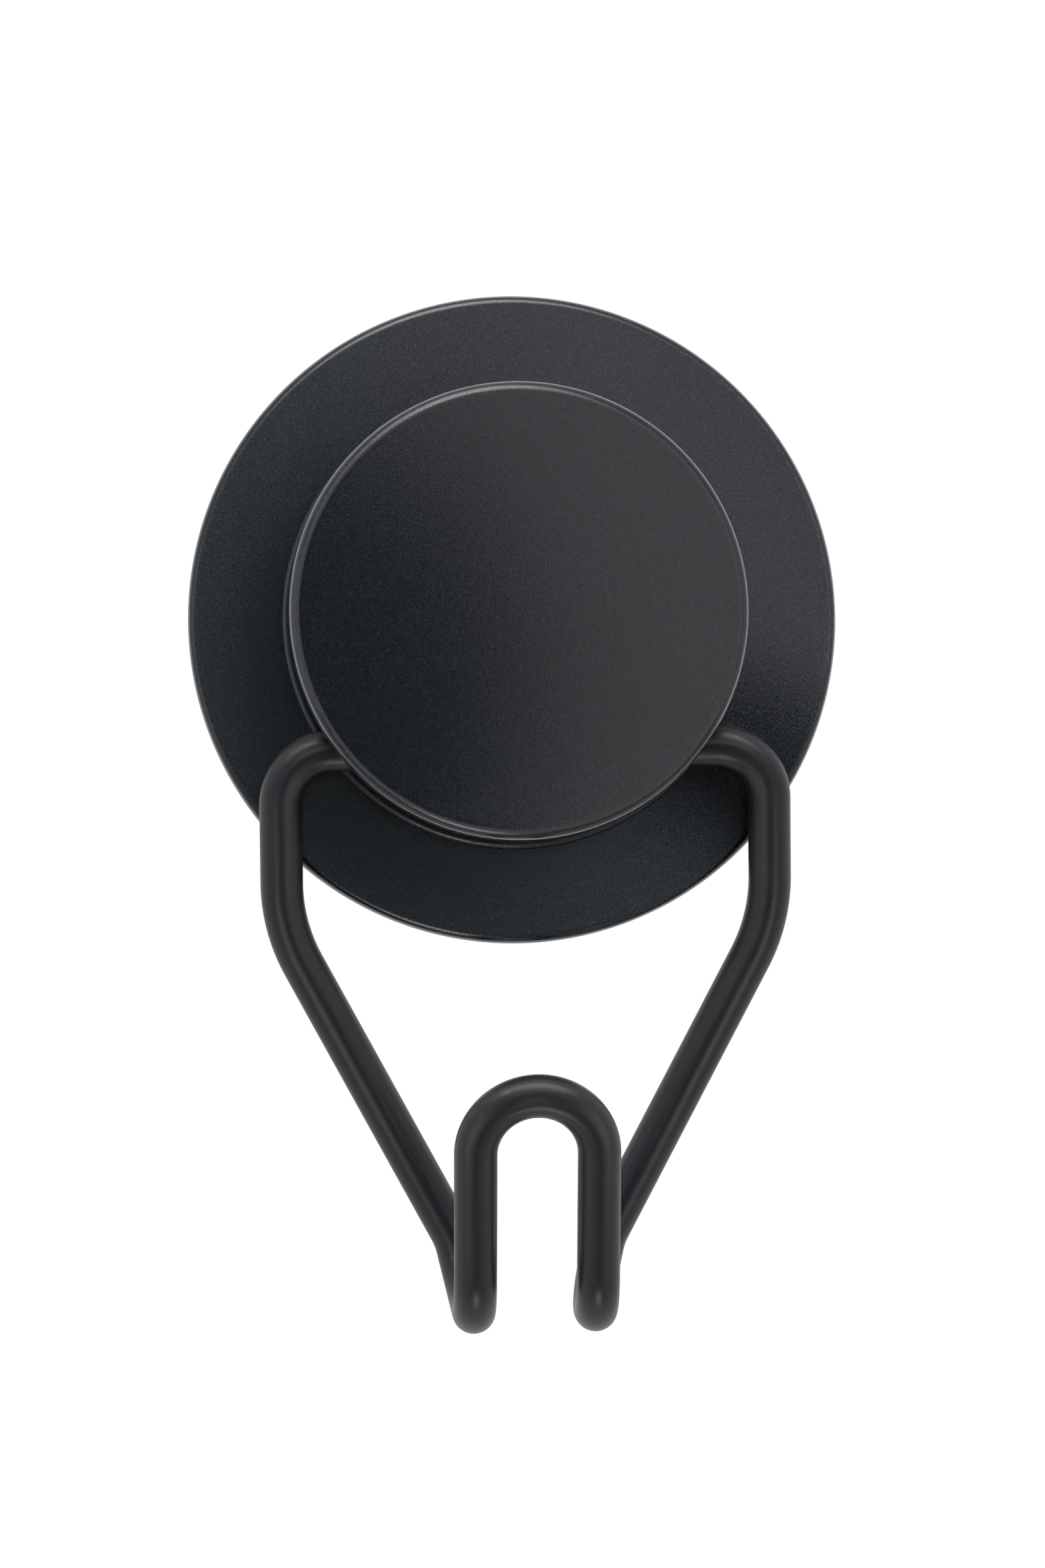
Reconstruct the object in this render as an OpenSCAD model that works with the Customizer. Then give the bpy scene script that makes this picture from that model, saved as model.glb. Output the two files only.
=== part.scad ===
// Magnetic swing hook.
// A round magnetic base carries a hub that turns on a central stud, and a
// bent wire hook that swings in two bushes in the hub.
// Origin: centre of the magnetic face, which lies in the plane y = 0.
// The front looks towards -Y, +Z is up, +X is to the right seen from the front.

/* [Base] */
// Diameter of the base cover
base_d = 76; // [70:0.5:90]
// Distance from the magnetic face to the front of the cover
base_h = 9; // [8.8:0.1:9.2]
// Rounding of the cover's front edge
base_edge_r = 1.05; // [0.4:0.05:1.1]
// Depth of the cover's rim
rim_h = 3; // [2:0.1:5]
// Sheet thickness of the cover
cover_t = 1.2; // [1:0.05:1.4]

/* [Magnet] */
// Outer diameter of the steel cup
cup_d = 68; // [64:0.5:70]
// Wall thickness of the cup
cup_wall = 2.5; // [2:0.1:3]
// Thickness of the cup's back plate
cup_plate = 2.4; // [2:0.1:2.6]
// Thickness of the grip pad
pad_t = 0.6; // [0.4:0.1:1]
// Diameter of the steel pole core
core_d = 22; // [20:0.5:24]
// Outer diameter of the ring magnet
magnet_od = 58; // [50:0.5:60]
// Inner diameter of the ring magnet
magnet_id = 28; // [26:0.5:32]

/* [Hub] */
// Diameter of the rear flange
flange_d = 54.16; // [53:0.02:56]
// Thickness of the rear flange
flange_t = 1.8; // [1.4:0.1:2]
// Rounding of the flange's front edge
flange_edge_r = 0.6; // [0.2:0.05:0.8]
// Diameter of the waist
waist_d = 50; // [49:0.1:50.4]
// Diameter of the front cap
cap_d = 52.88; // [52:0.02:54]
// Distance from the magnetic face to the front of the cap
hub_front = 23.15; // [23:0.05:25]
// Depth of the cap's skirt, from the cap's front
cap_h = 5.15; // [4.4:0.05:5.3]
// Rounding of the cap's front edge
cap_edge_r = 1.3; // [0.4:0.05:1.4]
// Gap between the base cover and the flange
swivel_gap = 0.35; // [0.3:0.05:0.5]

/* [Hook pivot] */
// Height of the pivot axis below the hub's centre
pivot_drop = 15.4; // [15:0.1:16]
// Distance from the magnetic face to the pivot axis
pivot_out = 14.45; // [14.3:0.05:14.6]
// Radial clearance of the wire in its bushes
pivot_clear = 0.05; // [0.02:0.01:0.1]

/* [Hook wire] */
// Diameter of the coated wire
wire_d = 4.95; // [4.5:0.05:5]
// Distance between the two upper legs
leg_spacing = 56.8; // [56:0.1:60]
// Centreline radius of the shoulder bends
shoulder_r = 6.2; // [4:0.1:6.4]
// Centreline radius of the knees
knee_r = 20.5; // [12:0.5:22]
// Angle of the long legs from the upright
knee_angle = 28; // [26:0.5:30]
// Centreline radius of the lower knees
low_knee_r = 8; // [5:0.5:10]
// Angle that the lower knees bend back
low_knee_angle = 15; // [10:1:20]
// Centreline diameter of the folds
fold_d = 13.2; // [12:0.1:16]
// Distance from the pivot axis to the lowest point of the centreline
hook_drop = 64.8; // [62:0.1:70]
// Distance between the two sides of the finger
finger_spacing = 14.1; // [13:0.1:16]
// Lean of the finger, away from the legs
finger_lean = 14; // [6:0.5:20]
// Straight length of the finger's sides
finger_len = 15.2; // [12:0.1:20]
// Angle at which the hook hangs, its foot towards the base
hang_tilt = 7.05; // [0:0.05:9]
// Sideways place of the hook in its end play
side_shift = 0.8; // [-0.8:0.1:0.8]

/* [Hidden] */
$fn = 96;

black_coat  = [0.10, 0.11, 0.12];
black_wire  = [0.09, 0.10, 0.10];
bare_steel  = [0.72, 0.73, 0.75];
nickel      = [0.62, 0.62, 0.60];
dark_rubber = [0.06, 0.06, 0.06];
plastic     = [0.85, 0.85, 0.82];

eps = 0.02;                       // clearance between pieces pressed together
plate_out = base_h - cover_t;     // front of the cup's back plate
plate_in  = plate_out - cup_plate; // magnet side of the back plate
magnet_face = pad_t + 0.4;        // magnet set back from the poles

stud_r = 5;                       // journal that the hub turns on
thread_r = 3;                     // M6 end
screw_pcr = 19;                   // cover screws lie under the hub

flange_in  = base_h + swivel_gap; // rear face of the flange
flange_out = flange_in + flange_t;
washer_out = base_h + 0.8;        // front of the thrust washer
collar_top = 13.4;
shoulder_t = 14.2;                // the stud's shoulder
cap_foot   = hub_front - cap_h;
wall_top   = cap_foot + 1.5;      // the waist wall reaches into the cap
cap_roof   = hub_front - 1.8;

bush_r  = wire_d/2 + 0.475;       // bore in the hub
bush_x  = 11;                     // inner end of the bosses
clip_x  = 9.1;                     // outer face of a clip on a centred hook
wire_in = 7.6;                    // inner end of the wire on a centred hook

// Turns a shape drawn along +Z so that +Z points to the front, and
// its +Y points up.
module front() { rotate([90, 0, 0]) children(); }

// A disc that stands on z = 0 with its upper edge rounded by r1 and its lower by r0.
module round_disc(d, h, r1, r0 = 0) {
    rotate_extrude() disc_profile(d/2, h, r1, r0);
}

module disc_profile(R, h, r1, r0) {
    square([R - max(r1, r0), h]);
    translate([0, r0]) square([R, h - r1 - r0]);
    intersection() {
        translate([0, h - r1 - 0.001]) square([R, r1 + 0.001]);
        union() {
            square([R - r1, h]);
            translate([R - r1, h - r1]) circle(r1, $fn = 48);
        }
    }
    if (r0 > 0) {
        square([R - r0, h/2]);
        intersection() {
            square([R, r0 + 0.001]);
            translate([R - r0, r0]) circle(r0, $fn = 48);
        }
    }
}

// A plain ring from z = z0 to z = z1.
module ring(ro, ri, z0, z1) {
    translate([0, 0, z0]) difference() {
        cylinder(r = ro, h = z1 - z0);
        translate([0, 0, -1]) cylinder(r = ri, h = z1 - z0 + 2);
    }
}

// Places shapes at the cover screws.
module at_screws() {
    for (a = [90, 210, 330])
        rotate(a) translate([screw_pcr, 0, 0]) children();
}

// ---------------------------------------------------------------- base

module grip_pad() {
    color(dark_rubber) front()
        cylinder(d = cup_d - 1, h = pad_t);
}

module magnet_cup() {
    color(bare_steel) front() difference() {
        union() {
            translate([0, 0, pad_t]) cylinder(d = cup_d, h = plate_out - pad_t - 0.5);
            translate([0, 0, plate_out - 0.5])
                cylinder(d1 = cup_d, d2 = cup_d - 1, h = 0.5);
        }
        translate([0, 0, pad_t - 1])
            cylinder(d = cup_d - 2*cup_wall, h = plate_in - pad_t + 1);
        cylinder(r = stud_r + eps, h = base_h);
        at_screws() cylinder(r = 1.5, h = base_h, $fn = 32);
    }
}

module ring_magnet() {
    color(nickel) front() ring(magnet_od/2, magnet_id/2, magnet_face, plate_in);
}

module pole_core() {
    color(bare_steel) front() difference() {
        translate([0, 0, pad_t]) cylinder(d = core_d, h = plate_in - pad_t);
        translate([0, 0, plate_in - 1.9]) cylinder(r = 7 + eps, h = 2.9);
    }
}

module outer_spacer_ring() {
    color(plastic) front()
        ring(cup_d/2 - cup_wall - eps, magnet_od/2 + eps, magnet_face, plate_in);
}

module inner_spacer_ring() {
    color(plastic) front()
        ring(magnet_id/2 - eps, core_d/2 + eps, magnet_face, plate_in);
}

module base_cover() {
    color(black_coat) front() difference() {
        translate([0, 0, base_h - rim_h])
            round_disc(base_d, rim_h, base_edge_r, 0.3);
        translate([0, 0, base_h - rim_h - 1])
            cylinder(d = base_d - 2*cover_t, h = rim_h - cover_t + 1);
        cylinder(r = stud_r + eps, h = base_h + 1);
        at_screws() {
            cylinder(r = 1.6, h = base_h + 1, $fn = 32);
            translate([0, 0, plate_out])
                cylinder(r1 = 1.6, r2 = 2.8, h = cover_t + 0.001, $fn = 32);
        }
    }
}

module cover_screws() {
    color(bare_steel) front() at_screws() difference() {
        union() {
            translate([0, 0, plate_in + 0.3])
                cylinder(r = 1.5 - eps, h = cup_plate - 0.3, $fn = 32);
            translate([0, 0, plate_out])
                cylinder(r1 = 1.5 - eps, r2 = 2.65, h = cover_t - 0.05, $fn = 32);
        }
        translate([0, 0, base_h - 0.9]) cylinder(r = 1.15, h = 1, $fn = 6);
    }
}

module swivel_stud() {
    color(bare_steel) front() {
        translate([0, 0, plate_in - 1.8]) cylinder(r = 7, h = 1.8);
        translate([0, 0, plate_in]) cylinder(r = stud_r, h = shoulder_t - plate_in);
        translate([0, 0, shoulder_t]) cylinder(r = thread_r, h = 6.2);
        translate([0, 0, shoulder_t + 6.2])
            cylinder(r1 = thread_r, r2 = thread_r - 0.6, h = 0.6);
    }
}

module thrust_washer() {
    color(plastic) front() ring(13, stud_r + 0.1, base_h, washer_out);
}

module spring_washer() {
    color(bare_steel) front() rotate_extrude()
        polygon([[5.1, shoulder_t - 0.4], [8.6, collar_top + 0.05],
                 [8.6, collar_top + 0.45], [5.1, shoulder_t]]);
}

module flat_washer() {
    color(bare_steel) front() ring(8.6, thread_r + 0.1, shoulder_t, shoulder_t + 1);
}

module lock_nut() {
    color(bare_steel) front() difference() {
        union() {
            intersection() {
                translate([0, 0, shoulder_t + 1]) cylinder(r = 5.77, h = 3.8, $fn = 6);
                translate([0, 0, shoulder_t + 1]) rotate_extrude()
                    polygon([[0, 0], [5.3, 0], [6.1, 0.5], [6.1, 3.3], [5.3, 3.8], [0, 3.8]]);
            }
            translate([0, 0, shoulder_t + 4.8]) cylinder(r = 4.6, h = 1.2);
        }
        translate([0, 0, shoulder_t]) cylinder(r = thread_r + eps, h = 8);
        translate([0, 0, shoulder_t + 4.8]) cylinder(r = 3.9, h = 3);
    }
}

module lock_nut_insert() {
    color("royalblue") front()
        ring(3.9 - eps, thread_r + eps, shoulder_t + 4.8, shoulder_t + 5.9);
}

// ----------------------------------------------------------------- hub

// A cylinder along the pivot axis from x = x0 to x = x1, in front() space.
module pivot_cyl(r, x0, x1) {
    translate([x0, -pivot_drop, pivot_out]) rotate([0, 90, 0])
        cylinder(r = r, h = x1 - x0);
}

module hub_body() {
    color(black_coat) front() difference() {
        union() {
            translate([0, 0, flange_in])
                round_disc(flange_d, flange_t, flange_edge_r, 0.3);
            // waist wall
            ring(waist_d/2, waist_d/2 - 2.4, flange_in + 0.5, wall_top);
            // bearing collar round the stud
            translate([0, 0, flange_in + 0.5])
                cylinder(r = 9.5, h = collar_top - flange_in - 0.5);
            // bosses for the pivot bushes
            intersection() {
                union() {
                    pivot_cyl(4.6, bush_x, waist_d/2);
                    pivot_cyl(4.6, -waist_d/2, -bush_x);
                }
                translate([0, 0, flange_in + 0.5])
                    cylinder(d = waist_d - 1.2, h = wall_top - flange_in - 0.5);
            }
        }
        translate([0, 0, base_h - 1]) cylinder(r = stud_r + 0.05, h = 20);
        translate([0, 0, base_h]) cylinder(r = 13.6, h = washer_out - base_h + 0.05);
        pivot_cyl(bush_r, -waist_d, waist_d);
        // room for the clips beside each boss
        pivot_cyl(4.15, wire_in - 1.4, bush_x);
        pivot_cyl(4.15, -bush_x, -wire_in + 1.4);
    }
}

module hub_cap() {
    color(black_coat) front() difference() {
        translate([0, 0, cap_foot]) round_disc(cap_d, cap_h, cap_edge_r, 0.2);
        translate([0, 0, cap_foot - 1])
            cylinder(d = waist_d + 2*eps, h = wall_top - cap_foot + 1);
        translate([0, 0, cap_foot])
            cylinder(d = waist_d - 1.6, h = cap_roof - cap_foot);
    }
}

module pivot_bush() {
    front() difference() {
        union() {
            intersection() {
                pivot_cyl(bush_r - eps, bush_x, waist_d/2);
                cylinder(d = waist_d + 0.2, h = 30);
            }
            pivot_cyl(3.9, bush_x - 0.8, bush_x);
        }
        pivot_cyl(wire_d/2 + pivot_clear, 0, waist_d);
    }
}

module pivot_bush_right() { color(dark_rubber) pivot_bush(); }

module pivot_bush_left() { color(dark_rubber) mirror([1, 0, 0]) pivot_bush(); }

// ---------------------------------------------------------------- hook

// A low ring round the place where two pieces of wire meet.
module seam() {
    translate([0, 0, -0.06]) cylinder(d = wire_d + 0.03, h = 0.12);
}

// The wire is laid from piece to piece: each piece runs along +Z from the
// origin and hands its far end to the next. A bend turns towards +X.
module run(len) {
    seam();
    cylinder(d = wire_d, h = len);
    translate([0, 0, len]) children();
}

module bend(r, a) {
    seam();
    translate([r, 0, 0]) rotate([90, 0, 180]) rotate_extrude(angle = a)
        translate([r, 0]) circle(d = wire_d);
    translate([r, 0, 0]) rotate([0, a, 0]) translate([-r, 0, 0]) children();
}

fold_r   = fold_d/2;
fold_angle = knee_angle - low_knee_angle; // slant of the legs where the folds begin
finger_x = finger_spacing/2;
leg_x    = leg_spacing/2;
// where the fold begins, from the pivot axis
fold_x = finger_x + fold_r*sin(fold_angle);
fold_z = hook_drop - fold_r*cos(fold_angle);
// tangent lengths of the two knees
low_t  = low_knee_r*tan(low_knee_angle/2);
knee_t = knee_r*tan(knee_angle/2);
// corner of the lower knee, then of the upper knee
low_x  = fold_x + low_t*sin(fold_angle);
low_z  = fold_z - low_t*cos(fold_angle);
knee_z = low_z - (leg_x - low_x)/tan(knee_angle);

module half_wire() {
    translate([wire_in, 0, 0]) rotate([0, 90, 0])
        cylinder(d = wire_d, h = leg_x - shoulder_r - wire_in);
    translate([leg_x - shoulder_r, 0, 0]) rotate([0, 90, 0])
    bend(shoulder_r, 90)
    run(knee_z - knee_t - shoulder_r)
    bend(knee_r, knee_angle)
    run((leg_x - low_x)/sin(knee_angle) - knee_t - low_t)
    rotate(180) bend(low_knee_r, low_knee_angle)
    rotate(90) bend(fold_r, 90)
    rotate(fold_angle) bend(fold_r, 90 - finger_lean)
    run(finger_len)
    children();
}

// Places a shape drawn about the pivot axis where the hook hangs.
module hung() {
    translate([side_shift, -pivot_out, -pivot_drop])
        rotate([hang_tilt, 0, 0]) children();
}

module wire_groove() {
    translate([clip_x - 0.75, 0, 0]) rotate([0, 90, 0]) difference() {
        cylinder(d = wire_d + 2, h = 0.8);
        translate([0, 0, -1]) cylinder(r = 1.85, h = 3);
    }
}

module hook_wire() {
    color(black_wire) hung() difference() {
        union() {
            half_wire() rotate(90) bend(finger_x, 180) seam();
            mirror([1, 0, 0]) half_wire();
        }
        wire_groove();
        mirror([1, 0, 0]) wire_groove();
    }
}

module retaining_clip() {
    translate([clip_x - 0.7, 0, 0]) rotate([0, 90, 0]) difference() {
        cylinder(r = 3.7, h = 0.7, $fn = 64);
        translate([0, 0, -1]) cylinder(r = 1.87, h = 3, $fn = 64);
        translate([0, -1.5, -1]) cube([6, 3, 3]);
    }
}

module retaining_clip_right() { color(bare_steel) hung() retaining_clip(); }

module retaining_clip_left() {
    color(bare_steel) hung() mirror([1, 0, 0]) retaining_clip();
}

grip_pad();
magnet_cup();
ring_magnet();
pole_core();
outer_spacer_ring();
inner_spacer_ring();
base_cover();
cover_screws();
swivel_stud();
thrust_washer();
hub_body();
spring_washer();
flat_washer();
lock_nut();
lock_nut_insert();
hub_cap();
pivot_bush_left();
pivot_bush_right();
retaining_clip_left();
retaining_clip_right();
hook_wire();
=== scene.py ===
"""Visual model of the magnetic swing hook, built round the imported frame.

The CAD nodes keep their places. The outer shells and the wire are rebuilt here as finer meshes,
and every surface gets a procedural material.
"""

import math

import bmesh
import bpy
import numpy as np
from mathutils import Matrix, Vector


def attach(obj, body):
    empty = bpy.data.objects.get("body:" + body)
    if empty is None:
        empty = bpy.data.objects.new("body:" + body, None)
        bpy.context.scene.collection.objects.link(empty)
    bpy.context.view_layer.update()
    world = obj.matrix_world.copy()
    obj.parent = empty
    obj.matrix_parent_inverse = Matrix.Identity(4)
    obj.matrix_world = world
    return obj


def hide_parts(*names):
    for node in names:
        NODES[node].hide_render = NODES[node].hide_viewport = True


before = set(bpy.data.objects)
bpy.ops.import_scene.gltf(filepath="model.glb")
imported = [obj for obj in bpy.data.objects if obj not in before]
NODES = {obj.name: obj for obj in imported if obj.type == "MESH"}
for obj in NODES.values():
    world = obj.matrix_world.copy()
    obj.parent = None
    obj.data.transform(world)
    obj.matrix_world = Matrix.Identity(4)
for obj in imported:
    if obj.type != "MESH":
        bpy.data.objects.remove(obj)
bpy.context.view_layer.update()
MM = 0.001
scene = bpy.context.scene

# ------------------------------------------------------------------ node helpers


def new_material(name):
    m = bpy.data.materials.new(name)
    m.use_nodes = True
    nt = m.node_tree
    nt.nodes.clear()
    out = nt.nodes.new("ShaderNodeOutputMaterial")
    bsdf = nt.nodes.new("ShaderNodeBsdfPrincipled")
    nt.links.new(bsdf.outputs[0], out.inputs[0])
    return m, nt, bsdf


def coords(nt):
    return nt.nodes.new("ShaderNodeTexCoord").outputs["Object"]


def noise(nt, vec, scale, detail=2.0, rough=0.5):
    n = nt.nodes.new("ShaderNodeTexNoise")
    n.inputs["Scale"].default_value = scale
    n.inputs["Detail"].default_value = detail
    n.inputs["Roughness"].default_value = rough
    nt.links.new(vec, n.inputs["Vector"])
    return n.outputs["Fac"]


def ramp(nt, fac, lo, hi, a, b):
    r = nt.nodes.new("ShaderNodeMapRange")
    r.interpolation_type = "SMOOTHSTEP"
    for k, v in (("From Min", lo), ("From Max", hi), ("To Min", a), ("To Max", b)):
        r.inputs[k].default_value = v
    nt.links.new(fac, r.inputs["Value"])
    return r.outputs["Result"]


def mix_colour(nt, fac, a, b):
    m = nt.nodes.new("ShaderNodeMix")
    m.data_type = "RGBA"
    nt.links.new(fac, m.inputs[0])
    for sock, v in ((m.inputs[6], a), (m.inputs[7], b)):
        if isinstance(v, tuple):
            sock.default_value = (*v, 1.0)
        else:
            nt.links.new(v, sock)
    return m.outputs[2]


def math_node(nt, op, a, b):
    m = nt.nodes.new("ShaderNodeMath")
    m.operation = op
    for sock, v in ((m.inputs[0], a), (m.inputs[1], b)):
        if isinstance(v, (int, float)):
            sock.default_value = v
        else:
            nt.links.new(v, sock)
    return m.outputs[0]


def bump(nt, height, distance, strength=1.0, normal=None):
    b = nt.nodes.new("ShaderNodeBump")
    b.inputs["Strength"].default_value = strength
    b.inputs["Distance"].default_value = distance
    nt.links.new(height, b.inputs["Height"])
    if normal is not None:
        nt.links.new(normal, b.inputs["Normal"])
    return b.outputs["Normal"]


# ------------------------------------------------------------------ materials


def powder_coat(name, dark, light, rough, grain, peel, pit_shade=0.66, glint_specks=(1.8, 0.003), edge=None):
    """Baked-on powder coat: a fine grain over a soft orange peel, near black with a little blue. Pale specks mixed into
    its colour are painted glints, and darker grit spots are painted shade in its pits. It runs smooth over an edge.
    """
    m, nt, b = new_material(name)
    vec = coords(nt)
    cloud = noise(nt, vec, 60.0, 3.0, 0.55)
    glint_speck_noise = noise(nt, vec, 6200.0, 1.0, 0.4)
    tone = mix_colour(nt, ramp(nt, cloud, 0.35, 0.65, 0.0, 1.0), dark, light)
    pale = tuple(c * glint_specks[0] + glint_specks[1] for c in light)
    # darker spots in the grain are painted shade in the coat's pits, darkening the base colour
    pit_shade_noise = noise(nt, vec, 5200.0, 1.0, 0.4)
    tone = mix_colour(nt, ramp(nt, pit_shade_noise, 0.34, 0.66, 0.0, 1.0), tuple(c * pit_shade for c in dark), tone)
    # the pale specks mixed in here are painted glints of the coat's grain, not a pale fleck in the coat itself
    b_col = mix_colour(nt, ramp(nt, glint_speck_noise, 0.60, 0.74, 0.0, 0.7), tone, pale)
    nt.links.new(b_col, b.inputs["Base Color"])
    g = noise(nt, vec, 5600.0, 2.0, 0.5)
    p = noise(nt, vec, 950.0, 2.0, 0.5)
    r = ramp(nt, g, 0.3, 0.7, rough - 0.05, rough + 0.06)
    nt.links.new(r, b.inputs["Roughness"])
    n1 = bump(nt, p, peel)
    n2 = bump(nt, g, grain, normal=n1)
    if edge is not None:
        sep = nt.nodes.new("ShaderNodeSeparateXYZ")
        nt.links.new(vec, sep.inputs[0])
        rr = math_node(nt, "ADD", math_node(nt, "MULTIPLY", sep.outputs[0], sep.outputs[0]),
                       math_node(nt, "MULTIPLY", sep.outputs[2], sep.outputs[2]))
        fade = ramp(nt, math_node(nt, "SQRT", rr, 0.0), edge - 0.0006, edge, 1.0, 0.18)
        for n in (n1, n2):
            nt.links.new(fade, n.node.inputs["Strength"])
    nt.links.new(n2, b.inputs["Normal"])
    b.inputs["IOR"].default_value = 1.5
    return m


def satin_coat(name, dark, light, rough):
    """Smooth dipped or sprayed coat on drawn wire: satin, with very low waves along it."""
    m, nt, b = new_material(name)
    vec = coords(nt)
    cloud = noise(nt, vec, 120.0, 3.0, 0.5)
    nt.links.new(mix_colour(nt, ramp(nt, cloud, 0.35, 0.65, 0.0, 1.0), dark, light), b.inputs["Base Color"])
    g = noise(nt, vec, 3800.0, 2.0, 0.5)
    p = noise(nt, vec, 420.0, 2.0, 0.45)
    nt.links.new(ramp(nt, g, 0.3, 0.7, rough - 0.01, rough + 0.01), b.inputs["Roughness"])
    n1 = bump(nt, p, 0.6e-5)
    n2 = bump(nt, g, 0.7e-6, normal=n1)
    nt.links.new(n2, b.inputs["Normal"])
    b.inputs["IOR"].default_value = 1.5
    return m


def plated_steel(name, colour, rough, rings=True):
    """Turned, plated steel: fine concentric tool marks about the Y axis and a cloudy plating."""
    m, nt, b = new_material(name)
    vec = coords(nt)
    cloud = noise(nt, vec, 220.0, 4.0, 0.6)
    deep = tuple(c * 0.90 for c in colour)
    nt.links.new(mix_colour(nt, ramp(nt, cloud, 0.3, 0.7, 0.0, 1.0), deep, colour), b.inputs["Base Color"])
    b.inputs["Metallic"].default_value = 1.0
    nt.links.new(ramp(nt, cloud, 0.3, 0.7, rough - 0.03, rough + 0.04), b.inputs["Roughness"])
    if rings:
        sep = nt.nodes.new("ShaderNodeSeparateXYZ")
        nt.links.new(vec, sep.inputs[0])
        xx = math_node(nt, "MULTIPLY", sep.outputs[0], sep.outputs[0])
        zz = math_node(nt, "MULTIPLY", sep.outputs[2], sep.outputs[2])
        rad = math_node(nt, "SQRT", math_node(nt, "ADD", xx, zz), 0.0)
        comb = nt.nodes.new("ShaderNodeCombineXYZ")
        nt.links.new(math_node(nt, "MULTIPLY", rad, 5200.0), comb.inputs[0])
        nt.links.new(math_node(nt, "MULTIPLY", sep.outputs[1], 5200.0), comb.inputs[1])
        h = noise(nt, comb.outputs[0], 1.0, 2.0, 0.6)
    else:
        h = noise(nt, vec, 2600.0, 2.0, 0.5)
    nt.links.new(bump(nt, h, 4.0e-6), b.inputs["Normal"])
    return m


def soft_plastic(name, dark, light, rough, grain=6.0e-6, scale=3000.0, coat=0.0):
    m, nt, b = new_material(name)
    vec = coords(nt)
    cloud = noise(nt, vec, 300.0, 3.0, 0.6)
    nt.links.new(mix_colour(nt, ramp(nt, cloud, 0.3, 0.7, 0.0, 1.0), dark, light), b.inputs["Base Color"])
    g = noise(nt, vec, scale, 2.0, 0.6)
    nt.links.new(ramp(nt, g, 0.3, 0.7, rough - 0.05, rough + 0.08), b.inputs["Roughness"])
    nt.links.new(bump(nt, g, grain), b.inputs["Normal"])
    if coat:
        b.inputs["Coat Weight"].default_value = coat
    return m


# In the powder coats, the speck settings give painted glints and the pit settings give painted shade in the grain's
# pits.
MAT = {
    "disc": powder_coat("powder_coat_hub", (0.0100, 0.0132, 0.0168), (0.0118, 0.0158, 0.0206), 0.20, 1.6e-5, 0.3e-5),
    "cap": powder_coat("powder_coat_cap", (0.0100, 0.0132, 0.0168), (0.0118, 0.0158, 0.0206), 0.16, 1.7e-5, 0.3e-5, edge=0.0252),
    "cover": powder_coat("powder_coat_base", (0.0118, 0.0156, 0.0198), (0.0140, 0.0187, 0.0243), 0.17, 1.6e-5, 0.3e-5,
                         pit_shade=0.22, glint_specks=(3.6, 0.013), edge=0.0370),
    "wire": satin_coat("satin_coat_wire", (0.0102, 0.0108, 0.0124), (0.0120, 0.0127, 0.0144), 0.33),
    "steel": plated_steel("zinc_plated_steel", (0.62, 0.62, 0.63), 0.30),
    "hardware": plated_steel("zinc_plated_hardware", (0.60, 0.61, 0.62), 0.28, rings=False),
    "nickel": plated_steel("nickel_plating", (0.66, 0.63, 0.58), 0.20, rings=False),
    "rubber": soft_plastic("grip_rubber", (0.018, 0.018, 0.019), (0.026, 0.026, 0.027), 0.72, 1.2e-5, 2600.0),
    "spacer": soft_plastic("spacer_plastic", (0.66, 0.65, 0.60), (0.74, 0.73, 0.69), 0.48),
    "bush": soft_plastic("bush_plastic", (0.012, 0.012, 0.014), (0.017, 0.017, 0.019), 0.42),
    "nylon": soft_plastic("nut_nylon", (0.05, 0.11, 0.45), (0.08, 0.16, 0.55), 0.30, coat=0.4),
}


def dress(obj, mat):
    obj.data.materials.clear()
    obj.data.materials.append(mat)
    for p in obj.data.polygons:
        p.material_index = 0


for names, mat in (
    (("magnet_cup", "pole_core"), "steel"),
    (("cover_screws", "swivel_stud", "spring_washer", "flat_washer", "lock_nut",
      "retaining_clip_left", "retaining_clip_right"), "hardware"),
    (("ring_magnet",), "nickel"),
    (("grip_pad",), "rubber"),
    (("outer_spacer_ring", "inner_spacer_ring", "thrust_washer"), "spacer"),
    (("pivot_bush_left", "pivot_bush_right"), "bush"),
    (("lock_nut_insert",), "nylon"),
    (("base_cover", "hub_body", "hub_cap"), "disc"),
    (("hook_wire",), "wire"),
):
    for n in names:
        dress(NODES[n], MAT[mat])

# ------------------------------------------------------------------ mesh helpers


def finish_mesh(name, bm, mat, sharp_deg=35.0):
    bmesh.ops.recalc_face_normals(bm, faces=bm.faces)
    lim = math.radians(sharp_deg)
    for e in bm.edges:
        e.smooth = not (len(e.link_faces) == 2 and e.calc_face_angle(0.0) > lim)
    for f in bm.faces:
        f.smooth = True
    me = bpy.data.meshes.new(name)
    bm.to_mesh(me)
    bm.free()
    me.materials.append(mat)
    o = bpy.data.objects.new(name, me)
    scene.collection.objects.link(o)
    return o


def arc(cr, ct, r, a0, a1, n):
    """Points on a fillet, in (radius, distance from the wall), in mm."""
    return [(cr + r * math.cos(math.radians(a0 + (a1 - a0) * k / n)),
             ct + r * math.sin(math.radians(a0 + (a1 - a0) * k / n))) for k in range(n + 1)]


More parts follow.
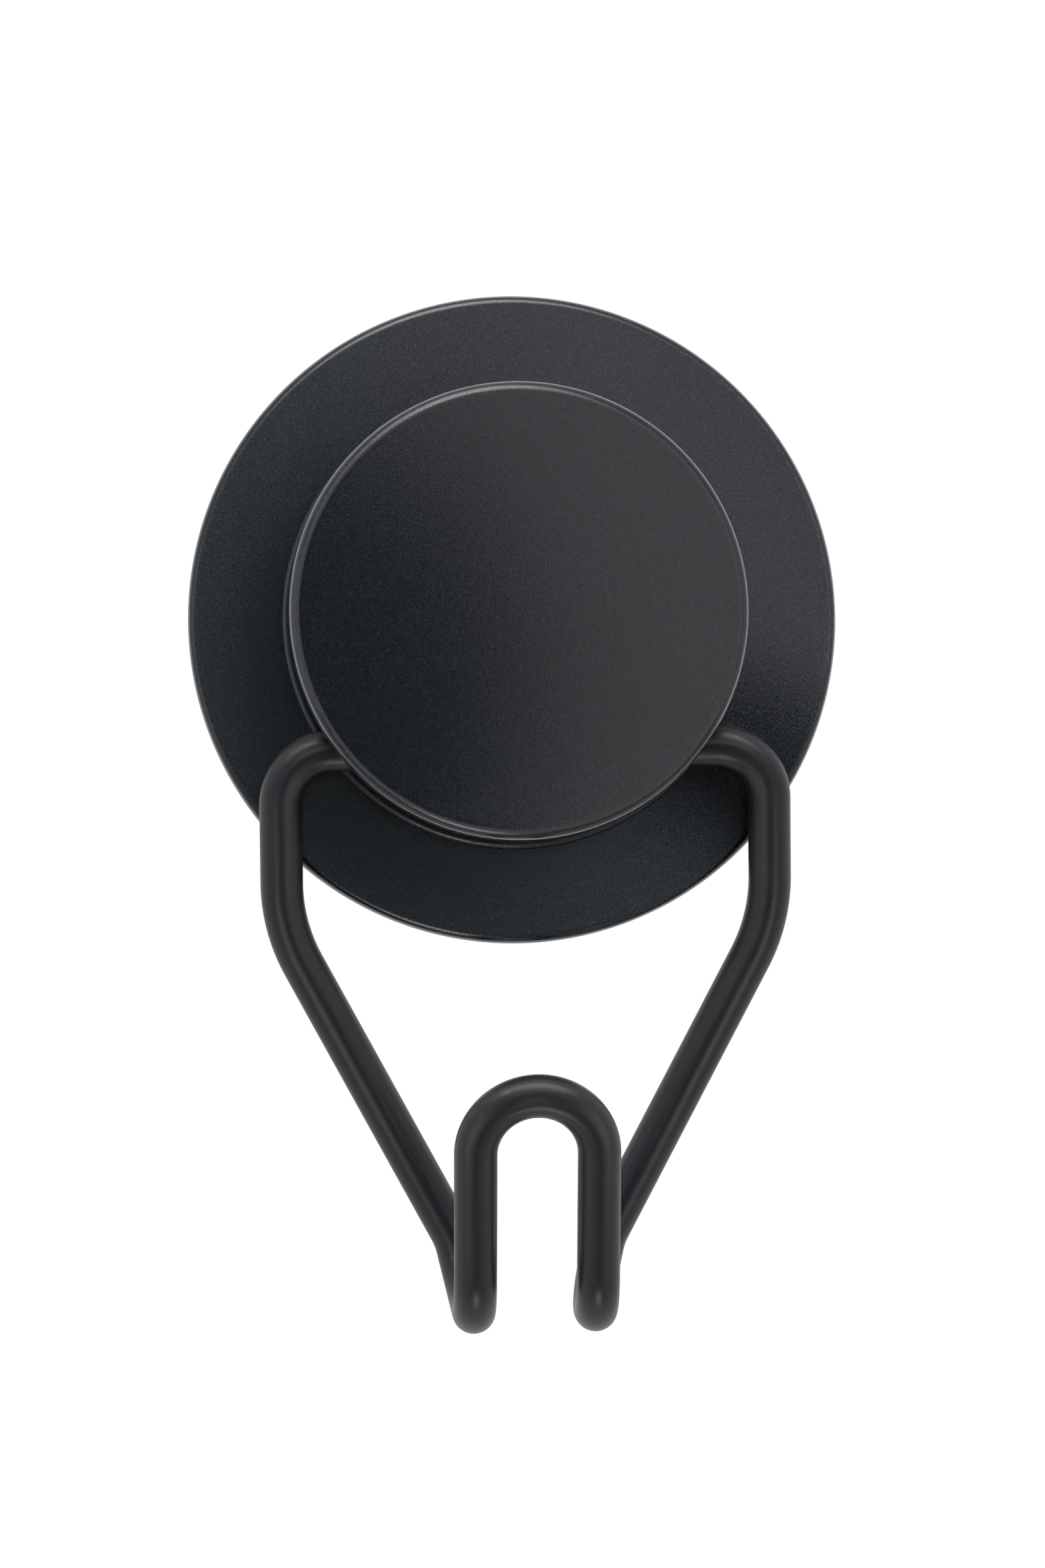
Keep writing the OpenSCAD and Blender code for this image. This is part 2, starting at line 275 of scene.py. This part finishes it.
def lathe(name, prof, mat, seg=320, closed=True):
    """Turns a profile of (radius, distance from the wall) about the Y axis."""
    bm = bmesh.new()
    rings = []
    for r, t in prof:
        if r < 1e-9:
            rings.append([bm.verts.new((0.0, -t * MM, 0.0))])
        else:
            rings.append([bm.verts.new((r * MM * math.cos(2 * math.pi * k / seg), -t * MM,
                                        r * MM * math.sin(2 * math.pi * k / seg))) for k in range(seg)])
    pairs = list(zip(rings[:-1], rings[1:]))
    if closed:
        pairs.append((rings[-1], rings[0]))
    for a, b in pairs:
        for k in range(seg):
            j = (k + 1) % seg
            if len(a) == 1:
                bm.faces.new((a[0], b[j], b[k]))
            elif len(b) == 1:
                bm.faces.new((a[k], a[j], b[0]))
            else:
                bm.faces.new((a[k], a[j], b[j], b[k]))
    return finish_mesh(name, bm, mat)


# ------------------------------------------------------------------ base cover

BASE_R, BASE_T = 38.0, 9.0
cover_prof = (
    [(5.02, BASE_T - 0.08), (5.10, BASE_T), (12.0, BASE_T), (15.8, BASE_T), (22.2, BASE_T), (27.0, BASE_T),
     (32.0, BASE_T), (35.6, BASE_T), (36.86, BASE_T)]
    + arc(BASE_R - 1.05, BASE_T - 1.05, 1.05, 90, 0, 16)
    + [(BASE_R, 7.85), (BASE_R, 6.4)]
    + arc(BASE_R - 0.3, 6.3, 0.3, 0, -90, 6)
    + [(37.6, 6.0), (36.92, 6.0), (36.82, 6.1), (36.8, 7.7), (36.7, 7.8), (22.2, 7.8), (15.8, 7.8), (5.12, 7.8),
       (5.02, 7.88)]
)
cover = lathe("cover_shell", cover_prof, MAT["cover"], seg=360)


def cut(target, cutter):
    mod = target.modifiers.new("cut", "BOOLEAN")
    mod.operation = "DIFFERENCE"
    mod.solver = "EXACT"
    mod.object = cutter
    dg = bpy.context.evaluated_depsgraph_get()
    me = bpy.data.meshes.new_from_object(target.evaluated_get(dg))
    target.modifiers.clear()
    old = target.data
    target.data = me
    bpy.data.meshes.remove(old)
    bpy.data.objects.remove(cutter)


def screw_cutter():
    bm = bmesh.new()
    seg = 48
    for a in (90, 210, 330):
        cx, cz = 19.0 * math.cos(math.radians(a)), 19.0 * math.sin(math.radians(a))
        rows = []
        for r, t in ((1.6, 6.8), (1.6, 7.8), (2.8, 9.0), (2.92, 9.12)):
            rows.append([bm.verts.new(((cx + r * math.cos(2 * math.pi * k / seg)) * MM, -t * MM,
                                       (cz + r * math.sin(2 * math.pi * k / seg)) * MM)) for k in range(seg)])
        for p, q in zip(rows[:-1], rows[1:]):
            for k in range(seg):
                j = (k + 1) % seg
                bm.faces.new((p[k], p[j], q[j], q[k]))
        bm.faces.new(rows[0])
        bm.faces.new(rows[-1][::-1])
    return finish_mesh("cutter", bm, MAT["cover"])


cut(cover, screw_cutter())
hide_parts("base_cover")
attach(cover, "base")

# ------------------------------------------------------------------ hub cap

CAP_R, CAP_T, CAP_FOOT = 26.44, 23.15, 18.0
cap_prof = (
    [(0.0, CAP_T), (6.0, CAP_T), (12.0, CAP_T), (18.0, CAP_T), (23.0, CAP_T), (24.6, CAP_T), (25.06, CAP_T)]
    + arc(CAP_R - 1.3, CAP_T - 1.3, 1.3, 90, 0, 20)
    + [(CAP_R, CAP_T - 1.4), (CAP_R, CAP_FOOT + 0.3)]
    + arc(CAP_R - 0.2, CAP_FOOT + 0.2, 0.2, 0, -90, 5)
    + [(26.1, CAP_FOOT), (25.12, CAP_FOOT), (25.03, CAP_FOOT + 0.08), (25.02, 19.5), (24.3, 19.5), (24.2, 19.6),
       (24.2, 21.15), (24.0, 21.35), (12.0, 21.35), (0.0, 21.35)]
)
cap = lathe("cap_shell", cap_prof, MAT["cap"], seg=320, closed=False)
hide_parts("hub_cap")
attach(cap, "hub")

# ------------------------------------------------------------------ hook wire

WIRE_R = 2.475
LEG_X, SHOULDER_R, KNEE_R, KNEE_A = 28.4, 6.2, 20.5, math.radians(28)
LOW_R, LOW_A, FOLD_R, FOLD_A = 8.0, math.radians(15), 6.6, math.radians(13)
DROP, FINGER_X, LEAN, FINGER_LEN = 64.8, 7.05, math.radians(14), 15.2
PIVOT = (0.8, -14.45, -15.4)
TILT = math.radians(7.05)
WIRE_IN = 7.6
fold_x = FINGER_X + FOLD_R * math.sin(FOLD_A)
fold_z = DROP - FOLD_R * math.cos(FOLD_A)
low_t = LOW_R * math.tan(LOW_A / 2)
knee_t = KNEE_R * math.tan(KNEE_A / 2)
low_x = fold_x + low_t * math.sin(FOLD_A)
low_z = fold_z - low_t * math.cos(FOLD_A)
knee_z = low_z - (LEG_X - low_x) / math.tan(KNEE_A)


class Turtle:
    """Lays the wire's centreline: runs go along the local Z axis, bends turn towards the local X axis."""

    def __init__(self, place, frame0):
        self.p = np.array(place, float)
        self.f = np.array(frame0, float)  # columns: local x, y, z
        self.pts = [self.p.copy()]
        self.dirs = [self.f[:, 2].copy()]

    def _add(self, p, d):
        self.pts.append(p.copy())
        self.dirs.append(d.copy())

    def run(self, length, step=1.2):
        n = max(1, int(round(length / step)))
        z = self.f[:, 2]
        for k in range(1, n + 1):
            self._add(self.p + z * length * k / n, z)
        self.p = self.p + z * length
        return self

    def bend(self, r, a, step=0.42):
        n = max(6, int(round(r * a / step)))
        x, y, z = self.f.T
        c = self.p + x * r
        for k in range(1, n + 1):
            t = a * k / n
            self._add(c - x * r * math.cos(t) + z * r * math.sin(t), x * math.sin(t) + z * math.cos(t))
        self.p = c - x * r * math.cos(a) + z * r * math.sin(a)
        nz = x * math.sin(a) + z * math.cos(a)
        nx = x * math.cos(a) - z * math.sin(a)
        self.f = np.array([nx, y, nz]).T
        return self

    def roll(self, a):
        x, y, z = self.f.T
        self.f = np.array([x * math.cos(a) + y * math.sin(a), -x * math.sin(a) + y * math.cos(a), z]).T
        return self


def half_centreline():
    """From the inner end of the right side to the middle of the finger's top, in hook space."""
    t = Turtle((WIRE_IN, 0, 0), [[0, 0, 1], [0, 1, 0], [-1, 0, 0]])
    t.run(LEG_X - SHOULDER_R - WIRE_IN, 0.25)
    t.bend(SHOULDER_R, math.pi / 2)
    t.run(knee_z - knee_t - SHOULDER_R)
    t.bend(KNEE_R, KNEE_A)
    t.run((LEG_X - low_x) / math.sin(KNEE_A) - knee_t - low_t)
    t.roll(math.pi).bend(LOW_R, LOW_A)
    t.roll(math.pi / 2).bend(FOLD_R, math.pi / 2)
    t.roll(FOLD_A).bend(FOLD_R, math.pi / 2 - LEAN)
    t.run(FINGER_LEN)
    t.roll(math.pi / 2).bend(FINGER_X, math.pi / 2)
    return np.array(t.pts), np.array(t.dirs)


def whole_centreline():
    p, d = half_centreline()
    q, e = p[::-1].copy(), -d[::-1].copy()
    q[:, 0] *= -1
    e[:, 0] *= -1
    return np.vstack([p, q[1:]]), np.vstack([d, e[1:]])


def to_rest(p):
    """From hook space to where the hook hangs."""
    c, s = math.cos(TILT), math.sin(TILT)
    x, y, z = p[:, 0], p[:, 1], p[:, 2]
    return np.c_[x + PIVOT[0], y * c - z * s + PIVOT[1], y * s + z * c + PIVOT[2]]


def sweep_wire(name, mat, seg=56):
    p, d = whole_centreline()
    n = len(p)
    # distance along the wire
    s = np.r_[0, np.cumsum(np.linalg.norm(np.diff(p, axis=0), axis=1))]
    total = s[-1]
    rad = np.full(n, WIRE_R)
    keep = []
    # the chamfered ends and the clip grooves replace the plain first and last runs
    g0, g1 = 8.35 - WIRE_IN, 9.15 - WIRE_IN
    ends = [(0.0, WIRE_R - 0.45), (0.12, WIRE_R - 0.2), (0.4, WIRE_R), (g0, WIRE_R), (g0, 1.85), (g1, 1.85),
            (g1, WIRE_R), (g1 + 0.4, WIRE_R)]
    stations = []
    for u, r in ends:
        stations.append((p[0] + d[0] * u, d[0], r))
    for k in range(n):
        if g1 + 0.6 < s[k] < total - g1 - 0.6:
            stations.append((p[k], d[k], rad[k]))
    for u, r in ends[::-1]:
        stations.append((p[-1] - d[-1] * u, d[-1], r))
    bm = bmesh.new()
    # rotation-minimising frames
    x = np.array([0.0, 1.0, 0.0])
    prev = stations[0][1]
    rings = []
    for c, t, r in stations:
        t = t / np.linalg.norm(t)
        ax = np.cross(prev, t)
        if np.linalg.norm(ax) > 1e-9:
            an = math.atan2(np.linalg.norm(ax), float(prev @ t))
            ax = ax / np.linalg.norm(ax)
            x = x * math.cos(an) + np.cross(ax, x) * math.sin(an) + ax * (ax @ x) * (1 - math.cos(an))
        x = x - t * (x @ t)
        x = x / np.linalg.norm(x)
        y = np.cross(t, x)
        a = np.linspace(0, 2 * math.pi, seg, endpoint=False)
        ring = c + r * (np.outer(np.cos(a), x) + np.outer(np.sin(a), y))
        ring = to_rest(ring) * MM
        rings.append([bm.verts.new(v) for v in ring])
        prev = t
    for a, b in zip(rings[:-1], rings[1:]):
        for k in range(seg):
            j = (k + 1) % seg
            bm.faces.new((a[k], a[j], b[j], b[k]))
    bm.faces.new(rings[0][::-1])
    bm.faces.new(rings[-1])
    return finish_mesh(name, bm, mat, 40.0)


wire = sweep_wire("hook_wire_coated", MAT["wire"])
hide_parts("hook_wire")
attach(wire, "hook")

# ------------------------------------------------------------------ light

world = bpy.data.worlds.new("studio")
scene.world = world
world.use_nodes = True
wn = world.node_tree
wn.nodes.clear()
w_out = wn.nodes.new("ShaderNodeOutputWorld")
w_bg = wn.nodes.new("ShaderNodeBackground")
w_cam = wn.nodes.new("ShaderNodeBackground")
w_cam.inputs["Color"].default_value = (1, 1, 1, 1)
w_cam.inputs["Strength"].default_value = 1.05
w_mix = wn.nodes.new("ShaderNodeMixShader")
w_lp = wn.nodes.new("ShaderNodeLightPath")
w_tc = wn.nodes.new("ShaderNodeTexCoord")
w_sep = wn.nodes.new("ShaderNodeSeparateXYZ")
wn.links.new(w_tc.outputs["Generated"], w_sep.inputs[0])
WORLD_BACK, WORLD_FRONT = 0.78, 0.12
back = ramp(wn, w_sep.outputs[1], -1.0, 0.15, WORLD_FRONT, WORLD_BACK)
wn.links.new(back, w_bg.inputs["Strength"])
w_bg.inputs["Color"].default_value = (1, 1, 1, 1)
wn.links.new(w_lp.outputs["Is Camera Ray"], w_mix.inputs[0])
wn.links.new(w_bg.outputs[0], w_mix.inputs[1])
wn.links.new(w_cam.outputs[0], w_mix.inputs[2])
wn.links.new(w_mix.outputs[0], w_out.inputs[0])


def group(name, *objs):
    """A set of pieces that a light is meant for."""
    c = bpy.data.collections.new(name)
    for o in objs:
        c.objects.link(o)
    return c


FACES = group("flat_faces", cover, cap, NODES["hub_body"], NODES["pivot_bush_left"], NODES["pivot_bush_right"])
CAP_FACE = group("cap_face", cap)
BASE_FACE = group("base_face", cover, NODES["hub_body"])
HUB_SIDE = group("hub_side", cap, NODES["hub_body"])
WIRE = group("wire_only", wire)


def soft_panel(name, place, size, radiance, colour=(1, 1, 1), receivers=None, diffuse=True, glossy=True, aim=None, pattern=None, shape=None):
    """A glowing panel that the camera doesn't see. pattern(nt, x, y, z) gives its strength in the panel's own metres."""
    bm = shape
    if bm is None:
        w, h = size[0] / 2, size[1] / 2
        bm = bmesh.new()
        bm.faces.new([bm.verts.new(v) for v in ((-w, 0, -h), (w, 0, -h), (w, 0, h), (-w, 0, h))])
    m, nt, b = new_material(name + "_light")
    nt.nodes.remove(b)
    e = nt.nodes.new("ShaderNodeEmission")
    out = [n for n in nt.nodes if n.type == "OUTPUT_MATERIAL"][0]
    clear = nt.nodes.new("ShaderNodeBsdfTransparent")
    both = nt.nodes.new("ShaderNodeAddShader")
    nt.links.new(e.outputs[0], both.inputs[0])
    nt.links.new(clear.outputs[0], both.inputs[1])
    nt.links.new(both.outputs[0], out.inputs[0])
    e.inputs["Color"].default_value = (*colour, 1)
    e.inputs["Strength"].default_value = radiance
    if pattern is not None:
        sep = nt.nodes.new("ShaderNodeSeparateXYZ")
        nt.links.new(coords(nt), sep.inputs[0])
        nt.links.new(pattern(nt, *sep.outputs[:3]), e.inputs["Strength"])
    o = finish_mesh(name, bm, m)
    o.location = place
    if aim is not None:
        o.rotation_euler = (Vector(aim) - Vector(place)).to_track_quat("Y", "Z").to_euler()
    o.visible_camera = False
    o.visible_shadow = False
    o.visible_transmission = False
    o.visible_diffuse = diffuse
    o.visible_glossy = glossy
    if receivers is not None:
        o.light_linking.receiver_collection = receivers
    return o


def add(nt, *v):
    r = v[0]
    for k in v[1:]:
        r = math_node(nt, "ADD", r, k)
    return r


AIM = (0.0, -0.012, -0.01)
WARM = (1.0, 0.945, 0.94)
PINK = (1.05, 0.92, 1.01)
COOL = (0.87, 1.03, 1.09)
# diffuse light from the upper right; it models the hub's soft shade on the base
soft_panel("key_diffuse", (0.36, -0.58, 0.36), (0.50, 0.50), 7.0, receivers=FACES, glossy=False, aim=AIM)
soft_panel("side_diffuse", (-0.47, 0.09, 0.17), (0.16, 0.50), 28.0, receivers=HUB_SIDE, glossy=False, aim=AIM)
soft_panel("key_diffuse_wire", (0.0, -0.47, 0.52), (0.5, 0.4), 13.0, (0.99, 0.97, 1.10), receivers=WIRE, glossy=False, aim=AIM)


def oval(nt, x, z, cx, cz, rx, rz):
    """Distance from a centre, 1 on the oval with half axes rx and rz."""
    dx = math_node(nt, "DIVIDE", math_node(nt, "SUBTRACT", x, cx), rx)
    dz = math_node(nt, "DIVIDE", math_node(nt, "SUBTRACT", z, cz), rz)
    return math_node(nt, "SQRT", add(nt, math_node(nt, "MULTIPLY", dx, dx), math_node(nt, "MULTIPLY", dz, dz)), 0.0)


def cap_pattern(nt, x, y, z):
    return ramp(nt, oval(nt, x, z, -0.021, -0.0075, 0.031, 0.046), 0.80, 1.22, 0.0, 1.0)


def hub_shade(nt, x, z):
    """The base darkens towards the hub, most on the side away from the key light."""
    near = ramp(nt, oval(nt, x, z, 0.0026, 0.0034, 1.0, 1.0), 0.0310, 0.0415, 0.28, 1.08)
    side = ramp(nt, x, -0.034, 0.022, 0.0, 1.0)
    return math_node(nt, "SUBTRACT", add(nt, near, side), math_node(nt, "MULTIPLY", near, side))


def base_pattern(nt, x, y, z):
    side = math_node(nt, "SUBTRACT", ramp(nt, x, -0.043, 0.013, 0.0, 0.88), ramp(nt, x, 0.012, 0.045, 0.0, 0.15))
    level = add(nt, z, ramp(nt, x, 0.034, 0.046, 0.0, 0.006))
    side = math_node(nt, "MULTIPLY", side, ramp(nt, level, -0.0080, 0.0025, 0.075, 1.0))
    side = math_node(nt, "MULTIPLY", side, ramp(nt, oval(nt, x, z, 0.0315, -0.0115, 0.014, 0.012), 0.40, 1.0, 0.0, 1.0))
    return math_node(nt, "MULTIPLY", side, hub_shade(nt, x, z))


def fill_pattern(nt, x, y, z):
    low = ramp(nt, add(nt, math_node(nt, "MULTIPLY", x, 0.5), z), -0.040, -0.024, 0.28, 0.50)
    top = math_node(nt, "MULTIPLY", ramp(nt, x, -0.028, 0.005, 0.0, 0.6), ramp(nt, z, -0.005, 0.010, 0.0, 1.0))
    low = math_node(nt, "MULTIPLY", low, math_node(nt, "SUBTRACT", 1.0, top))
    low = math_node(nt, "MULTIPLY", low, hub_shade(nt, x, z))
    leg = math_node(nt, "MULTIPLY", ramp(nt, add(nt, math_node(nt, "MULTIPLY", z, 0.7), x), 0.003, 0.010, 0.0, 0.6),
                    ramp(nt, z, -0.016, -0.006, 1.0, 0.0))
    low = math_node(nt, "MULTIPLY", low, math_node(nt, "SUBTRACT", 1.0, leg))
    return math_node(nt, "MULTIPLY", low, ramp(nt, oval(nt, x, z, 0.0320, -0.0125, 0.014, 0.013), 0.50, 1.30, 0.0, 1.0))


def soft_spot(radius, peak, tall=None):
    """A round or oval glow, brightest in the middle and nothing at its edge."""
    return lambda nt, x, y, z: ramp(nt, oval(nt, x, z, 0.0, 0.0, radius, tall or radius), 0.0, 1.0, peak, 0.0)


soft_panel("cap_glow", (0.0, -0.148, 0.0), (0.30, 0.30), 1.0, WARM, CAP_FACE, diffuse=False, pattern=cap_pattern)
soft_panel("base_glow", (0.0, -0.070, 0.0), (0.24, 0.24), 1.0, PINK, BASE_FACE, diffuse=False, pattern=base_pattern)
soft_panel("base_fill", (0.0, -0.0705, 0.0), (0.24, 0.24), 1.0, COOL, BASE_FACE, diffuse=False, pattern=fill_pattern)
# edge lights for the rounded rims of the discs
soft_panel("rim_top", (-0.060, -0.394, 0.475), (0.74, 0.74), 1.0, receivers=FACES, diffuse=False, aim=AIM, pattern=soft_spot(0.37, 7.0))
soft_panel("rim_corner", (-0.373, -0.382, 0.281), (0.50, 0.50), 1.0, receivers=FACES, diffuse=False, aim=AIM, pattern=soft_spot(0.25, 0.6))
soft_panel("rim_low", (-0.105, -0.389, -0.464), (0.39, 0.39), 1.0, receivers=FACES, diffuse=False, aim=AIM, pattern=soft_spot(0.195, 5.0))
soft_panel("rim_left", (-0.52, -0.30, -0.02), (0.34, 0.40), 0.8, receivers=FACES, diffuse=False, aim=AIM)
soft_panel("rim_right", (0.52, -0.30, 0.02), (0.34, 0.50), 0.45, receivers=FACES, diffuse=False, aim=AIM)


def rim_ring():
    """A glowing tube round the piece that brightens the steep outer edge of each disc."""
    bm = bmesh.new()
    rows = [[bm.verts.new((0.7 * math.cos(2 * math.pi * k / 64), y, 0.7 * math.sin(2 * math.pi * k / 64)))
             for k in range(64)] for y in (-0.10, 0.9)]
    for k in range(64):
        bm.faces.new((rows[0][k], rows[0][(k + 1) % 64], rows[1][(k + 1) % 64], rows[1][k]))
    return bm


soft_panel("rim_ring", (0.0, 0.0, 0.0), None, 1.0, receivers=FACES, diffuse=False, shape=rim_ring(),
           pattern=lambda nt, x, y, z: ramp(nt, y, -0.05, 0.40, 0.1, 1.2))
# the wire's own lights
CREAM = (1.0, 0.96, 0.88)
soft_panel("wire_left", (-0.50, -0.46, 0.02), (0.76, 1.1), 1.0, receivers=WIRE, diffuse=False, aim=AIM, pattern=soft_spot(0.38, 0.16, 0.55))
soft_panel("wire_right", (0.50, -0.46, 0.02), (0.76, 1.1), 1.0, receivers=WIRE, diffuse=False, aim=AIM, pattern=soft_spot(0.38, 0.16, 0.55))
soft_panel("wire_crown", (0.0, -0.34, 0.50), (0.50, 0.22), 3.2, CREAM, receivers=WIRE, diffuse=False, aim=AIM)
soft_panel("wire_between", (0.0005, -0.062, -0.022), (0.036, 0.050), 0.46, CREAM, receivers=WIRE, diffuse=False)
soft_panel("wire_fingers", (0.0008, -0.058, -0.070), (0.005, 0.026), 1.5, CREAM, receivers=WIRE, diffuse=False)
soft_panel("wire_glint_left", (-0.030, -0.060, -0.004), (0.022, 0.014), 1.6, CREAM, receivers=WIRE, diffuse=False)
soft_panel("wire_glint_right", (0.033, -0.060, -0.004), (0.022, 0.014), 1.6, CREAM, receivers=WIRE, diffuse=False)
soft_panel("wire_top_left", (-0.36, -0.33, 0.50), (0.50, 0.50), 1.0, CREAM, receivers=WIRE, diffuse=False, aim=AIM, pattern=soft_spot(0.25, 3.4))
soft_panel("wire_top_right", (0.32, -0.44, 0.46), (0.50, 0.50), 1.0, CREAM, receivers=WIRE, diffuse=False, aim=AIM, pattern=soft_spot(0.25, 3.6))
soft_panel("wire_side_left", (-0.31, -0.52, -0.23), (0.32, 0.32), 1.0, receivers=WIRE, diffuse=False, aim=AIM, pattern=soft_spot(0.16, 1.3))
soft_panel("wire_slant_left", (-0.048, -0.060, -0.073), (0.050, 0.110), 1.0, receivers=WIRE, diffuse=False, aim=(-0.019, -0.020, -0.057), pattern=soft_spot(0.025, 1.15, 0.055))
soft_panel("wire_side_right", (0.31, -0.52, -0.23), (0.32, 0.32), 1.0, receivers=WIRE, diffuse=False, aim=AIM, pattern=soft_spot(0.16, 1.3))
soft_panel("wire_slant_right", (0.050, -0.060, -0.073), (0.050, 0.110), 1.0, receivers=WIRE, diffuse=False, aim=(0.021, -0.020, -0.057), pattern=soft_spot(0.025, 1.15, 0.055))
soft_panel("wire_low_left", (-0.30, -0.50, -0.45), (0.26, 0.16), 0.50, receivers=WIRE, diffuse=False, aim=AIM)
soft_panel("wire_low_right", (0.30, -0.50, -0.45), (0.26, 0.16), 0.50, receivers=WIRE, diffuse=False, aim=AIM)
soft_panel("wire_toe", (0.0, -0.19, -0.50), (0.16, 0.13), 3.0, receivers=WIRE, diffuse=False, aim=(0.0, -0.02, -0.08))


def dark_card():
    """Keeps the middle of the wire dark, as the camera does."""
    bm = bmesh.new()
    bm.faces.new([bm.verts.new(v) for v in ((-0.18, 0, -0.95), (0.18, 0, -0.95), (0.20, 0, 0.45), (-0.20, 0, 0.45))])
    m, nt, b = new_material("dark_card")
    b.inputs["Base Color"].default_value = (0.01, 0.01, 0.01, 1)
    o = finish_mesh("dark_card", bm, m)
    o.location = (0.0, -0.74, 0.0)
    o.visible_camera = False
    return o


dark_card()


def floor():
    """A plain pale floor well below the hook."""
    bm = bmesh.new()
    s = 12.0
    vs = [bm.verts.new(v) for v in ((-s, -s, 0), (s, -s, 0), (s, s, 0), (-s, s, 0))]
    bm.faces.new(vs)
    m, nt, b = new_material("pale_floor")
    b.inputs["Base Color"].default_value = (0.85, 0.85, 0.85, 1)
    b.inputs["Roughness"].default_value = 0.9
    b.inputs["Emission Color"].default_value = (1, 1, 1, 1)
    b.inputs["Emission Strength"].default_value = 0.75
    o = finish_mesh("floor", bm, m)
    o.location = (0.0, 0.0, -1.6)
    o.visible_glossy = False
    o.visible_diffuse = False
    return o


floor()

# ------------------------------------------------------------------ camera

cam_data = bpy.data.cameras.new("camera")
cam_data.sensor_fit = "VERTICAL"
cam_data.sensor_width = 24.0
cam_data.sensor_height = 36.0
cam_data.lens = 8354.98 * 36.0 / 2352.0 * 1.0015
cam_data.clip_start, cam_data.clip_end = 0.01, 20.0
cam = bpy.data.objects.new("camera", cam_data)
scene.collection.objects.link(cam)
cam.location = (-0.03665, -0.65932, -0.04631)
cam.rotation_euler = (1.61208, 0.01752, -0.05673)
scene.camera = cam
scene.view_settings.view_transform = "Standard"
scene.view_settings.look = "None"

# ------------------------------------------------------------------ end

bpy.context.view_layer.update()
